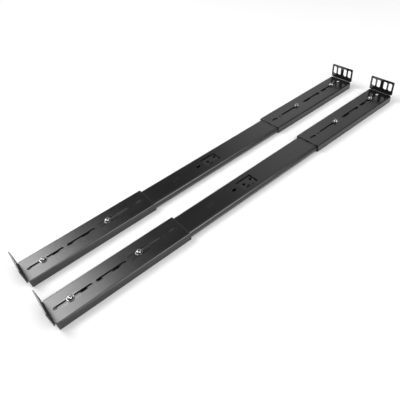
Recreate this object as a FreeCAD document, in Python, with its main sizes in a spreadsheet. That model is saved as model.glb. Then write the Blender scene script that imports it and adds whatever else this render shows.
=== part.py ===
"""Pair of telescopic server rails: ball-bearing slides carried in flanged, depth-adjustable brackets.

Both rails are alike and lie side by side, web up, with the rack flanges standing up at both ends.
Each rail is drawn in its own frame: x runs from the outer face of the front flange to the rear,
y is across the rail from its centreline and z is up from the surface that it lies on.
Millimetres throughout.
"""
import FreeCAD, Part
import math
import os
import re

import Sketcher

# ---------------------------------------------------------------------------------------------
# Driving dimensions: alias, value, meaning
# ---------------------------------------------------------------------------------------------
DIMENSIONS = [
    ("overall_length", 655.0, "outer face of front flange to outer face of rear flange"),
    ("rail_pitch", 82.0, "centreline of one rail to centreline of the other"),
    ("rail_stagger", 3.0, "how far the right rail lies behind the left one"),
    # bracket: folded from one sheet
    ("sheet_gauge", 1.5, "steel of the brackets"),
    ("bracket_width", 44.5, "one rack unit"),
    ("bracket_length", 198.0, "flange face to free end"),
    ("bracket_top", 11.5, "upper face of the bracket web"),
    ("skirt_bottom", 0.3, "lower edge of the bracket side walls"),
    ("flange_rise", 25.0, "flange above the web"),
    ("fold_inside", 0.8, "inside radius of every fold of the bracket"),
    ("relief_end", 2.6, "where the side walls start behind the flange face"),
    ("relief_width", 3.0, "width of the notch that frees the flange fold"),
    ("flange_corner", 2.0, "radius of the upper flange corners"),
    ("rack_slot_corner", 2.6, "corner radius of the rack slots"),
    ("rack_slot_width", 7.0, "slots for the rack screws"),
    ("rack_slot_height", 14.0, "slots for the rack screws"),
    ("rack_slot_sill", 7.6, "lower end of the rack slots above the web"),
    ("rack_slot_inner", 6.35, "centreline to inner slot"),
    ("rack_slot_outer", 15.875, "centreline to outer slot"),
    ("adjust_width", 4.8, "width of the four long slots in the web"),
    ("tooling_hole", 3.2, "diameter of the tooling hole in the web"),
    ("tooling_hole_x", 171.5, "flange face to tooling hole"),
    # outer rail
    ("outer_start", 12.0, "flange face to the end of the slide, front and rear"),
    ("outer_width", 41.0, "over the side walls"),
    ("outer_top", 9.95, "upper face of the outer rail web"),
    ("outer_gauge", 1.2, "steel of the outer rail"),
    ("outer_shoulder", 4.2, "outside radius of the rolled sides"),
    ("lip_edge", 15.6, "centreline to the free edge of the rolled lips"),
    ("front_screw_one", 30.5, "front flange face to first bracket screw"),
    ("front_screw_two", 130.0, "front flange face to second bracket screw"),
    ("rear_screw_one", 31.0, "rear flange face to first bracket screw"),
    ("rear_screw_two", 127.0, "rear flange face to second bracket screw"),
    ("punched_width", 6.4, "width of the punched holes under the brackets"),
    ("window_start", 308.0, "window in the middle of the outer rail"),
    ("window_length", 28.0, "window along the rail"),
    ("window_width", 19.0, "window across the rail"),
    ("sight_hole_x", 297.0, "small slot before the window"),
    ("sight_hole_length", 8.0, "small slot before the window"),
    # middle rail
    ("middle_start", 14.0, "front end of the middle rail"),
    ("middle_length", 623.0, "length of the middle rail"),
    ("middle_width", 31.2, "over the side walls"),
    ("middle_mouth", 26.8, "between the side walls"),
    ("middle_top", 7.9, "upper face of the web"),
    ("middle_gauge", 1.0, "web of the middle rail"),
    ("middle_bottom", 1.5, "lower edge of the side walls"),
    # inner rail
    ("inner_start", 14.0, "front end of the inner rail"),
    ("inner_length", 618.0, "length of the inner rail"),
    ("inner_width", 21.7, "over the side walls"),
    ("inner_mouth", 18.2, "between the side walls"),
    ("inner_bottom", 0.4, "face that bolts to the chassis"),
    ("inner_gauge", 1.1, "web of the inner rail"),
    ("inner_wall_top", 6.0, "upper edge of the side walls"),
    ("inner_fold", 1.5, "outside radius of the folds"),
    ("chassis_hole", 4.5, "diameter of the chassis screw holes"),
    ("chassis_first", 90.0, "flange face to first chassis hole"),
    ("chassis_pitch", 155.0, "between chassis holes"),
    ("chassis_holes", 4.0, "number of chassis holes"),
    # ball rows and their cages
    ("ball_count", 6.0, "balls in one row"),
    ("ball_pitch", 26.0, "between balls of a row"),
    ("race_clearance", 0.15, "between a ball and its race"),
    ("cage_clearance", 0.02, "between a ball and its window in the cage"),
    ("outer_ball", 4.0, "ball diameter of the outer rows"),
    ("outer_ball_y", 17.2, "centreline to outer ball row"),
    ("outer_ball_z", 5.0, "height of the outer ball rows"),
    ("outer_cage_start", 186.0, "front end of the outer cage, slide closed"),
    ("outer_cage_length", 150.0, "length of the outer cage"),
    ("outer_cage_top", 8.55, "upper face of the outer cage"),
    ("outer_cage_bottom", 2.8, "lower edge of the outer cage"),
    ("inner_ball", 3.2, "ball diameter of the inner rows"),
    ("inner_ball_y", 12.1, "centreline to inner ball row"),
    ("inner_ball_z", 4.3, "height of the inner ball rows"),
    ("inner_cage_start", 190.0, "front end of the inner cage, slide closed"),
    ("inner_cage_length", 150.0, "length of the inner cage"),
    ("inner_cage_top", 6.62, "upper face of the inner cage"),
    ("inner_cage_bottom", 2.2, "lower edge of the inner cage"),
    ("cage_gauge", 0.4, "strip of both cages"),
    ("cage_hole", 3.6, "diameter of the holes in the web of the outer cage"),
    # fasteners of the brackets
    ("screw_shank", 4.0, "M4"),
    ("screw_head", 8.0, "pan head diameter"),
    ("screw_head_height", 3.0, "pan head height"),
    ("screw_bevel", 1.3, "bevel of the pan head edge"),
    ("washer_diameter", 10.0, "plain washer"),
    ("washer_gauge", 1.0, "plain washer"),
    ("washer_seat", 11.55, "lower face of the washers"),
    ("thread_clearance", 0.05, "between shank and hole in the rail"),
    # stops and latch
    ("bumper_length", 5.0, "rear bumper along the rail"),
    ("bumper_width", 28.0, "rear bumper across the rail"),
    ("bumper_bottom", 1.6, "lower face of the rear bumper"),
    ("latch_pivot_x", 58.0, "front flange face to latch pivot"),
    ("latch_bottom", 1.8, "lower face of the latch plate"),
    ("latch_gauge", 1.4, "thickness of the latch plate"),
    ("latch_nose", 30.0, "pivot to front end of the latch"),
    ("latch_tail", 26.0, "pivot to rear end of the latch"),
    ("latch_width", 7.0, "width of the latch"),
    ("latch_fold", 2.2, "height of the finger tab above the plate"),
    ("rivet_shank", 3.0, "pivot rivet"),
    ("rivet_head", 6.0, "head of the pivot rivet"),
    ("rivet_head_height", 0.9, "head of the pivot rivet"),
    ("rivet_bevel", 0.3, "bevel of the rivet's head"),
    ("rivet_clearance", 0.1, "between rivet and latch"),
]

RACK_SLOT_CENTRES = ("-rack_slot_outer", "-rack_slot_inner", "rack_slot_inner", "rack_slot_outer")

# where the bracket screws sit in the outer rail, measured from the front flange face
SCREW_PLACES = (
    "front_screw_one",
    "front_screw_two",
    "(overall_length - rear_screw_two)",
    "(overall_length - rear_screw_one)",
)

# start and end of the four long slots of a bracket, measured from its flange face
ADJUSTING_SLOTS = [(7.5, 60.5), (66.0, 109.5), (120.0, 166.5), (178.0, 190.0)]

# punched holes of the outer rail: start and end from the flange face, at the front and at the rear
FRONT_PUNCHED = [(43.5, 53.0), (67.5, 74.5), (89.0, 100.0)]
REAR_PUNCHED = [(46.0, 56.5), (66.0, 73.0), (89.5, 105.0)]

# flats of a ball: meridians round it, and bands from pole to pole
BALL_SIDES = 8
BALL_BANDS = 4

# holes at the rear end of the outer cage: distance from its end, and across
CAGE_HOLES = [(5.0, 1.0), (9.0, -8.5), (20.0, -1.0)]

doc = FreeCAD.newDocument("ServerRailPair")
sheet = doc.addObject("Spreadsheet::Sheet", "Dims")
for row, (alias, value, meaning) in enumerate(DIMENSIONS, start=1):
    sheet.set(f"A{row}", meaning)
    sheet.set(f"B{row}", str(value))
    sheet.setAlias(f"B{row}", alias)
doc.recompute()

ALIASES = {alias for alias, value, meaning in DIMENSIONS}


# ---------------------------------------------------------------------------------------------
# Helpers: formulas over the sheet, sketches and features
# ---------------------------------------------------------------------------------------------
def formula(text):
    """Expression with every alias of the sheet written in full."""
    return re.sub(r"[a-z_]+", lambda m: "Dims." + m.group() if m.group() in ALIASES else m.group(), str(text))


def number(text):
    """Value of a formula over the sheet."""
    return float(sheet.evalExpression(formula(text)))


def new_body(name):
    body = doc.addObject("PartDesign::Body", name)
    body.Label = name
    return body


def new_sketch(body, plane, offset="0"):
    """Sketch on one of the body's own origin planes, moved along the plane's normal by the offset."""
    sketch = body.newObject("Sketcher::SketchObject", body.Name + "_sketch")
    origin_plane = next(f for f in body.Origin.OriginFeatures if f.Role == plane)
    sketch.AttachmentSupport = [(origin_plane, "")]
    sketch.MapMode = "FlatFace"
    sketch.setExpression("AttachmentOffset.Base.z", formula(offset))
    return sketch


def bind_point(sketch, element, vertex, u, v):
    """Fix a sketch point at (u, v), both formulas."""
    for kind, text in (("DistanceX", u), ("DistanceY", v)):
        index = sketch.addConstraint(Sketcher.Constraint(kind, element, vertex, number(text)))
        sketch.setExpression(f"Constraints[{index}]", formula(text))


def add_outline(sketch, corners):
    """Closed outline of straight sides through the corners (u, v), each a pair of formulas."""
    points = [FreeCAD.Vector(number(u), number(v), 0) for u, v in corners]
    first = sketch.GeometryCount
    count = len(points)
    for i in range(count):
        sketch.addGeometry(Part.LineSegment(points[i], points[(i + 1) % count]))
    for i in range(count):
        sketch.addConstraint(Sketcher.Constraint("Coincident", first + i, 2, first + (i + 1) % count, 1))
    for i, (u, v) in enumerate(corners):
        bind_point(sketch, first + i, 1, u, v)


def add_rectangle(sketch, u_low, v_low, u_high, v_high):
    add_outline(sketch, [(u_low, v_low), (u_high, v_low), (u_high, v_high), (u_low, v_high)])


def add_circle(sketch, u, v, diameter):
    radius = number(diameter) / 2
    centre = FreeCAD.Vector(number(u), number(v), 0)
    element = sketch.addGeometry(Part.Circle(centre, FreeCAD.Vector(0, 0, 1), radius))
    bind_point(sketch, element, 3, u, v)
    index = sketch.addConstraint(Sketcher.Constraint("Radius", element, radius))
    sketch.setExpression(f"Constraints[{index}]", formula(f"({diameter}) / 2"))


def add_slot(sketch, u_low, u_high, v, width):
    """Round-ended slot along u, from u_low to u_high over its ends."""
    radius = number(width) / 2
    left = FreeCAD.Vector(number(u_low) + radius, number(v), 0)
    right = FreeCAD.Vector(number(u_high) - radius, number(v), 0)
    up = FreeCAD.Vector(0, radius, 0)
    normal = FreeCAD.Vector(0, 0, 1)
    quarter = math.pi / 2
    left_arc = sketch.addGeometry(Part.ArcOfCircle(Part.Circle(left, normal, radius), quarter, 3 * quarter))
    lower = sketch.addGeometry(Part.LineSegment(left - up, right - up))
    right_arc = sketch.addGeometry(Part.ArcOfCircle(Part.Circle(right, normal, radius), -quarter, quarter))
    upper = sketch.addGeometry(Part.LineSegment(right + up, left + up))
    sketch.addConstraint(Sketcher.Constraint("Tangent", left_arc, 2, lower, 1))
    sketch.addConstraint(Sketcher.Constraint("Tangent", lower, 2, right_arc, 1))
    sketch.addConstraint(Sketcher.Constraint("Tangent", right_arc, 2, upper, 1))
    sketch.addConstraint(Sketcher.Constraint("Tangent", upper, 2, left_arc, 1))
    sketch.addConstraint(Sketcher.Constraint("Equal", left_arc, right_arc))
    bind_point(sketch, left_arc, 3, f"{u_low} + ({width}) / 2", v)
    bind_point(sketch, right_arc, 3, f"{u_high} - ({width}) / 2", v)
    index = sketch.addConstraint(Sketcher.Constraint("Radius", left_arc, radius))
    sketch.setExpression(f"Constraints[{index}]", formula(f"({width}) / 2"))


def pad(body, sketch, length, symmetric=False):
    feature = body.newObject("PartDesign::Pad", body.Name + "_pad")
    feature.Profile = sketch
    feature.setExpression("Length", formula(length))
    if symmetric:
        feature.SideType = "Symmetric"
    doc.recompute()
    return feature


def pocket(body, sketch, length, symmetric=False):
    """Cut along the sketch's normal, and check that it takes something away."""
    before = body.Shape.Volume
    feature = body.newObject("PartDesign::Pocket", body.Name + "_pocket")
    feature.Profile = sketch
    feature.setExpression("Length", formula(length))
    feature.Reversed = True
    if symmetric:
        feature.SideType = "Symmetric"
    doc.recompute()
    if not body.Shape.Volume < before - 0.1:
        raise RuntimeError(f"{feature.Name} cuts nothing")
    return feature


def row_of(body, feature, pitch, count):
    """Repeat a feature along x, towards the rear."""
    pattern = body.newObject("PartDesign::LinearPattern", body.Name + "_row")
    pattern.Originals = [feature]
    x_axis = next(f for f in body.Origin.OriginFeatures if f.Role == "X_Axis")
    pattern.Direction = (x_axis, [""])
    pattern.Mode = "Spacing"
    pattern.setExpression("Offset", formula(pitch))
    pattern.setExpression("Occurrences", formula(count))
    body.Tip = pattern
    doc.recompute()
    return pattern


def round_edges(body, radius, places, direction):
    """Round the straight edges that run along direction and pass one of the places."""
    axis = {"x": FreeCAD.Vector(1, 0, 0), "y": FreeCAD.Vector(0, 1, 0), "z": FreeCAD.Vector(0, 0, 1)}[direction]
    base = body.Tip
    names = []
    for i, edge in enumerate(base.Shape.Edges, start=1):
        if edge.Curve.TypeId != "Part::GeomLine":
            continue
        if abs(abs(edge.tangentAt(edge.FirstParameter).dot(axis)) - 1) > 1e-6:
            continue
        middle = edge.CenterOfMass
        across = [c for c, name in zip(middle, "xyz") if name != direction]
        if any(abs(across[0] - number(a)) < 1e-4 and abs(across[1] - number(b)) < 1e-4 for a, b in places):
            names.append(f"Edge{i}")
    if not names:
        raise RuntimeError(f"{body.Name} has no edge to round")
    feature = body.newObject("PartDesign::Fillet", body.Name + "_fillet")
    feature.Base = (base, names)
    feature.setExpression("Radius", formula(radius))
    doc.recompute()
    return feature


def place(part, rail, flipped=False):
    """Put a sub-part in the pair: rail is +1 for the left rail and -1 for the right one."""
    if flipped:
        part.Placement = FreeCAD.Placement(FreeCAD.Vector(), FreeCAD.Rotation(FreeCAD.Vector(0, 0, 1), 180))
    end = "overall_length / 2" if flipped else "-overall_length / 2"
    part.setExpression("Placement.Base.x", formula(f"{end} - ({rail}) * rail_stagger / 2"))
    part.setExpression("Placement.Base.y", formula(f"({rail}) * rail_pitch / 2"))
    doc.recompute()
    return part


# ---------------------------------------------------------------------------------------------
# Brackets
# ---------------------------------------------------------------------------------------------
def make_bracket(name):
    """Channel folded down over the outer rail, with a slotted rack flange folded up at its end."""
    body = new_body(name)
    half = "bracket_width / 2"
    inside = "(bracket_width / 2 - sheet_gauge)"
    under = "bracket_top - sheet_gauge"

    channel = new_sketch(body, "YZ_Plane", "relief_end")
    add_outline(channel, [
        (f"-{half}", "skirt_bottom"), (f"-{half}", "bracket_top"),
        (half, "bracket_top"), (half, "skirt_bottom"),
        (inside, "skirt_bottom"), (inside, under),
        (f"-{inside}", under), (f"-{inside}", "skirt_bottom"),
    ])
    pad(body, channel, "bracket_length - relief_end")
    round_edges(body, "fold_inside + sheet_gauge", [(f"-{half}", "bracket_top"), (half, "bracket_top")], "x")
    round_edges(body, "fold_inside", [(f"-{inside}", under), (inside, under)], "x")

    flange = new_sketch(body, "XZ_Plane")
    crest = "bracket_top + flange_rise"
    add_outline(flange, [
        ("0", under), ("0", crest), ("sheet_gauge", crest),
        ("sheet_gauge", "bracket_top"), ("relief_end", "bracket_top"), ("relief_end", under),
    ])
    pad(body, flange, "bracket_width", symmetric=True)
    round_edges(body, "fold_inside + sheet_gauge", [("0", under)], "y")
    round_edges(body, "fold_inside", [("sheet_gauge", "bracket_top")], "y")
    round_edges(body, "flange_corner", [(f"-{half}", crest), (half, crest)], "x")

    relief = new_sketch(body, "XY_Plane")
    notch = f"({half} - relief_width)"
    add_rectangle(relief, "-1", notch, "relief_end", f"{half} + 1")
    add_rectangle(relief, "-1", f"-({half} + 1)", "relief_end", f"-{notch}")
    pocket(body, relief, "bracket_top + fold_inside")

    rack_slots = new_sketch(body, "YZ_Plane")
    sill = "bracket_top + rack_slot_sill"
    for centre in RACK_SLOT_CENTRES:
        add_rectangle(rack_slots, f"{centre} - rack_slot_width / 2", sill,
                      f"{centre} + rack_slot_width / 2", f"{sill} + rack_slot_height")
    pocket(body, rack_slots, "2 * sheet_gauge")
    corners = [
        (f"{centre} {side} rack_slot_width / 2", level)
        for centre in RACK_SLOT_CENTRES for side in "+-" for level in (sill, f"{sill} + rack_slot_height")
    ]
    round_edges(body, "rack_slot_corner", corners, "x")

    web_slots = new_sketch(body, "XY_Plane")
    for start, end in ADJUSTING_SLOTS:
        add_slot(web_slots, start, end, "0", "adjust_width")
    add_circle(web_slots, "tooling_hole_x", "0", "tooling_hole")
    pocket(body, web_slots, "bracket_top + sheet_gauge")
    return body


# ---------------------------------------------------------------------------------------------
# Telescopic members
# ---------------------------------------------------------------------------------------------
def make_outer_rail(name):
    """Rolled C section: a flat web and two rolled sides whose lips hold the balls."""
    body = new_body(name)
    half = "outer_width / 2"
    wall = "(outer_width / 2 - outer_gauge)"
    under = "outer_top - outer_gauge"

    section = new_sketch(body, "YZ_Plane", "outer_start")
    add_outline(section, [
        (f"-{half}", "0"), (f"-{half}", "outer_top"), (half, "outer_top"), (half, "0"),
        ("lip_edge", "0"), ("lip_edge", "outer_gauge"), (wall, "outer_gauge"), (wall, under),
        (f"-{wall}", under), (f"-{wall}", "outer_gauge"), ("-lip_edge", "outer_gauge"), ("-lip_edge", "0"),
    ])
    pad(body, section, "overall_length - 2 * outer_start")
    outer_corners = [(f"{sign}{half}", level) for sign in ("", "-") for level in ("0", "outer_top")]
    inner_corners = [(f"{sign}{wall}", level) for sign in ("", "-") for level in ("outer_gauge", under)]
    round_edges(body, "outer_shoulder", outer_corners, "x")
    round_edges(body, "outer_shoulder - outer_gauge", inner_corners, "x")

    punched = new_sketch(body, "XY_Plane")
    for start, end in FRONT_PUNCHED:
        add_slot(punched, start, end, "0", "punched_width")
    for start, end in REAR_PUNCHED:
        add_slot(punched, f"(overall_length - {end})", f"(overall_length - {start})", "0", "punched_width")
    for screw in SCREW_PLACES:
        add_circle(punched, screw, "0", "screw_shank + 2 * thread_clearance")
    add_slot(punched, "(sight_hole_x - sight_hole_length / 2)", "(sight_hole_x + sight_hole_length / 2)",
             "0", "adjust_width")
    add_rectangle(punched, "window_start", "-window_width / 2",
                  "window_start + window_length", "window_width / 2")
    pocket(body, punched, "outer_top + outer_gauge")
    return body


def make_middle_rail(name):
    """Rolled channel with a ball race along the outside and the inside of each thick side wall."""
    body = new_body(name)
    half = "middle_width / 2"
    mouth = "middle_mouth / 2"
    under = "middle_top - middle_gauge"

    section = new_sketch(body, "YZ_Plane", "middle_start")
    add_outline(section, [
        (f"-{half}", "middle_bottom"), (f"-{half}", "middle_top"),
        (half, "middle_top"), (half, "middle_bottom"),
        (mouth, "middle_bottom"), (mouth, under), (f"-{mouth}", under), (f"-{mouth}", "middle_bottom"),
    ])
    pad(body, section, "middle_length")
    round_edges(body, "middle_gauge", [(f"-{half}", "middle_top"), (half, "middle_top")], "x")

    races = new_sketch(body, "YZ_Plane", "middle_start - 1")
    for sign in ("", "-"):
        add_circle(races, f"{sign}outer_ball_y", "outer_ball_z", "outer_ball + 2 * race_clearance")
        add_circle(races, f"{sign}inner_ball_y", "inner_ball_z", "inner_ball + 2 * race_clearance")
    pocket(body, races, "middle_length + 2")
    return body


def make_inner_rail(name):
    """Chassis member: a shallow channel with a ball race along each side wall and a row of screw holes."""
    body = new_body(name)
    half = "inner_width / 2"
    mouth = "inner_mouth / 2"
    web_top = "inner_bottom + inner_gauge"

    section = new_sketch(body, "YZ_Plane", "inner_start")
    add_outline(section, [
        (f"-{half}", "inner_bottom"), (half, "inner_bottom"), (half, "inner_wall_top"),
        (mouth, "inner_wall_top"), (mouth, web_top), (f"-{mouth}", web_top),
        (f"-{mouth}", "inner_wall_top"), (f"-{half}", "inner_wall_top"),
    ])
    pad(body, section, "inner_length")
    round_edges(body, "inner_fold", [(f"-{half}", "inner_bottom"), (half, "inner_bottom")], "x")

    races = new_sketch(body, "YZ_Plane", "inner_start - 1")
    for sign in ("", "-"):
        add_circle(races, f"{sign}inner_ball_y", "inner_ball_z", "inner_ball + 2 * race_clearance")
    pocket(body, races, "inner_length + 2")

    pivot_hole = new_sketch(body, "XY_Plane")
    add_circle(pivot_hole, "latch_pivot_x", "0", "rivet_shank")
    pocket(body, pivot_hole, "inner_bottom + 2 * inner_gauge")

    screw_hole = new_sketch(body, "XY_Plane")
    add_circle(screw_hole, "chassis_first", "0", "chassis_hole")
    first_hole = pocket(body, screw_hole, "inner_bottom + 2 * inner_gauge")
    row_of(body, first_hole, "chassis_pitch", "chassis_holes")
    return body


# ---------------------------------------------------------------------------------------------
# Ball rows
# ---------------------------------------------------------------------------------------------
def make_cage(name, row):
    """Thin folded strip; each side holds one row of balls in square windows. row is outer or inner."""
    body = new_body(name)
    outside = f"({row}_ball_y + cage_gauge / 2)"
    inside = f"({row}_ball_y - cage_gauge / 2)"
    top = f"{row}_cage_top"
    bottom = f"{row}_cage_bottom"
    under = f"{top} - cage_gauge"

    section = new_sketch(body, "YZ_Plane", f"{row}_cage_start")
    add_outline(section, [
        (f"-{outside}", bottom), (f"-{outside}", top), (outside, top), (outside, bottom),
        (inside, bottom), (inside, under), (f"-{inside}", under), (f"-{inside}", bottom),
    ])
    pad(body, section, f"{row}_cage_length")
    round_edges(body, "3 * cage_gauge", [(f"-{outside}", top), (outside, top)], "x")
    round_edges(body, "2 * cage_gauge", [(f"-{inside}", under), (inside, under)], "x")

    window = new_sketch(body, "XZ_Plane")
    reach = f"({row}_ball / 2 + cage_clearance)"
    add_rectangle(window, f"{first_ball(row)} - {reach}", f"{row}_ball_z - {reach}",
                  f"{first_ball(row)} + {reach}", f"{row}_ball_z + {reach}")
    first_window = pocket(body, window, f"4 * {row}_ball_y", symmetric=True)
    row_of(body, first_window, "ball_pitch", "ball_count")
    return body


def punch_cage_web(body, row):
    """Round tooling holes at the rear end of a cage, in two staggered rows."""
    holes = new_sketch(body, "XY_Plane")
    end = f"{row}_cage_start + {row}_cage_length"
    for from_end, across in CAGE_HOLES:
        add_circle(holes, f"{end} - {from_end}", across, "cage_hole")
    pocket(body, holes, f"{row}_cage_top + cage_gauge")
    return body


def first_ball(row):
    """Where the first ball of a row lies along the rail."""
    return f"({row}_cage_start + ({row}_cage_length - (ball_count - 1) * ball_pitch) / 2)"


def faceted_ball(radius, centre):
    """Ball of BALL_SIDES meridians and BALL_BANDS bands, its corners on the sphere and its faces flat."""
    def corner(band, side):
        tilt = math.pi * band / BALL_BANDS
        turn = 2 * math.pi * side / BALL_SIDES
        ring = radius * math.sin(tilt)
        return centre + FreeCAD.Vector(ring * math.cos(turn), ring * math.sin(turn), radius * math.cos(tilt))

    faces = []
    for band in range(BALL_BANDS):
        for side in range(BALL_SIDES):
            corners = [
                corner(band, side), corner(band + 1, side), corner(band + 1, side + 1), corner(band, side + 1),
            ]
            if band == 0:
                corners.pop()
            if band == BALL_BANDS - 1:
                corners.pop(2)
            faces.append(Part.Face(Part.makePolygon(corners + corners[:1])))
    return Part.Solid(Part.Shell(faces))


def make_balls(name, row):
    """The balls of both rows of a cage, as separate solids."""
    balls = []
    for across in (number(f"{row}_ball_y"), -number(f"{row}_ball_y")):
        for i in range(int(number("ball_count"))):
            along = number(f"{first_ball(row)} + {i} * ball_pitch")
            centre = FreeCAD.Vector(along, across, number(f"{row}_ball_z"))
            balls.append(faceted_ball(number(f"{row}_ball / 2"), centre))
    group = doc.addObject("Part::Feature", name)
    group.Label = name
    group.Shape = Part.makeCompound(balls)
    return group


def group_of(name, pieces):
    """Alike loose pieces kept together, each still its own solid."""
    group = doc.addObject("Part::Compound", name)
    group.Label = name
    group.Links = pieces
    doc.recompute()
    return group


# ---------------------------------------------------------------------------------------------
# Fasteners, stop and latch
# ---------------------------------------------------------------------------------------------
def upright_cylinder(name, diameter, height, x, z):
    """Cylinder on the rail's centreline, standing on height z."""
    cylinder = doc.addObject("Part::Cylinder", name)
    cylinder.setExpression("Radius", formula(f"({diameter}) / 2"))
    cylinder.setExpression("Height", formula(height))
    cylinder.setExpression("Placement.Base.x", formula(x))
    cylinder.setExpression("Placement.Base.z", formula(z))
    return cylinder


def headed_pin(name, place_x, shank, shank_end, head, head_seat, head_height, bevel):
    """Turned pin: a shank under a round head whose upper edge is bevelled, from one half outline."""
    body = new_body(name)
    outline = new_sketch(body, "XZ_Plane")
    head_top = f"{head_seat} + {head_height}"
    add_outline(outline, [
        (place_x, shank_end), (f"{place_x} + {shank} / 2", shank_end),
        (f"{place_x} + {shank} / 2", head_seat), (f"{place_x} + {head} / 2", head_seat),
        (f"{place_x} + {head} / 2", f"{head_top} - {bevel}"),
        (f"{place_x} + {head} / 2 - {bevel}", head_top), (place_x, head_top),
    ])
    turned = body.newObject("PartDesign::Revolution", name + "_turned")
    turned.Profile = outline
    turned.ReferenceAxis = (outline, ["Edge7"])
    turned.Angle = 360
    doc.recompute()
    return body


def make_screws(name):
    """Pan-head screws that pass the slots of the brackets and end flush in the web of the outer rail."""
    screws = []
    for place_x in SCREW_PLACES:
        screws.append(headed_pin(
            name + "_screw", place_x, "screw_shank", "outer_top - outer_gauge",
            "screw_head", "washer_seat + washer_gauge", "screw_head_height", "screw_bevel",
        ))
    return group_of(name, screws)


def make_washers(name):
    washers = []
    for place_x in SCREW_PLACES:
        disc = upright_cylinder(name + "_disc", "washer_diameter", "washer_gauge", place_x, "washer_seat")
        bore = upright_cylinder(name + "_bore", "screw_shank + 2 * thread_clearance", "3 * washer_gauge",
                                place_x, "washer_seat - washer_gauge")
        washer = doc.addObject("Part::Cut", name + "_washer")
        washer.Base = disc
        washer.Tool = bore
        washers.append(washer)
    return group_of(name, washers)


def make_bumper(name):
    """Moulded block that closes the rear end of the outer rail and stops the middle rail."""
    body = new_body(name)
    section = new_sketch(body, "YZ_Plane", "overall_length - outer_start - bumper_length")
    add_rectangle(section, "-bumper_width / 2", "bumper_bottom", "bumper_width / 2", "outer_top - outer_gauge")
    pad(body, section, "bumper_length")
    lower = [(f"{sign}bumper_width / 2", "bumper_bottom") for sign in ("", "-")]
    round_edges(body, "outer_gauge", lower, "x")
    return body


def make_latch(name):
    """Lever that frees the inner rail: a flat plate pivoted on a rivet, with a finger tab at its nose."""
    body = new_body(name)
    plate = new_sketch(body, "XY_Plane", "latch_bottom")
    add_slot(plate, "(latch_pivot_x - latch_nose)", "(latch_pivot_x + latch_tail)", "0", "latch_width")
    pad(body, plate, "latch_gauge")

    tab = new_sketch(body, "XY_Plane", "latch_bottom")
    tab_start = "(latch_pivot_x - latch_nose + latch_width / 2)"
    add_rectangle(tab, tab_start, "-latch_width / 2", f"{tab_start} + latch_gauge", "latch_width / 2")
    pad(body, tab, "latch_gauge + latch_fold")

    pivot_hole = new_sketch(body, "XY_Plane")
    add_circle(pivot_hole, "latch_pivot_x", "0", "rivet_shank + 2 * rivet_clearance")
    pocket(body, pivot_hole, "latch_bottom + 2 * latch_gauge")
    return body


def make_rivet(name):
    """Pivot of the latch: a headed pin set in the web of the inner rail."""
    return headed_pin(name, "latch_pivot_x", "rivet_shank", "inner_bottom", "rivet_head",
                      "latch_bottom + latch_gauge + rivet_clearance", "rivet_head_height", "rivet_bevel")


# ---------------------------------------------------------------------------------------------
# The pair
# ---------------------------------------------------------------------------------------------
def make_rail(side, rail):
    """Every sub-part of one rail. rail is +1 for the left one and -1 for the right one."""
    return [
        place(make_bracket(f"{side}_front_bracket"), rail),
        place(make_bracket(f"{side}_rear_bracket"), rail, flipped=True),
        place(make_outer_rail(f"{side}_outer_rail"), rail),
        place(make_middle_rail(f"{side}_middle_rail"), rail),
        place(make_inner_rail(f"{side}_inner_rail"), rail),
        place(punch_cage_web(make_cage(f"{side}_outer_cage", "outer"), "outer"), rail),
        place(make_balls(f"{side}_outer_balls", "outer"), rail),
        place(make_cage(f"{side}_inner_cage", "inner"), rail),
        place(make_balls(f"{side}_inner_balls", "inner"), rail),
        place(make_screws(f"{side}_bracket_screws"), rail),
        place(make_washers(f"{side}_bracket_washers"), rail),
        place(make_bumper(f"{side}_rear_bumper"), rail),
        place(make_latch(f"{side}_release_latch"), rail),
        place(make_rivet(f"{side}_latch_rivet"), rail),
    ]


parts = make_rail("left", 1) + make_rail("right", -1)
doc.recompute()

for item in doc.Objects:
    if "Invalid" in item.State or "Error" in item.State:
        raise RuntimeError(f"{item.Label} failed: {item.State}")
for item in parts:
    if item.Shape.isNull() or not item.Shape.isValid():
        raise RuntimeError(f"{item.Label} has no valid shape")

os.makedirs("parts", exist_ok=True)
for item in parts:
    item.Shape.exportStep(f"parts/{item.Label}.step")
    box = item.Shape.BoundBox
    low = f"{box.XMin:8.2f} {box.YMin:7.2f} {box.ZMin:6.2f}"
    high = f"{box.XMax:8.2f} {box.YMax:7.2f} {box.ZMax:6.2f}"
    amount = f"solids {len(item.Shape.Solids):3d}  volume {item.Shape.Volume:9.1f}"
    print(f"{item.Label:24s} {amount}  from {low}  to {high}")
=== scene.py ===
"""Pair of telescopic server rails: ball-bearing slides in flanged, depth-adjustable brackets.

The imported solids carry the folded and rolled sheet; this file gives them their finishes and adds the
turned, stamped and moulded small parts. Metres throughout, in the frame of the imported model.
"""
import math

import bpy
import numpy as np
from mathutils import Matrix, Vector


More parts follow.
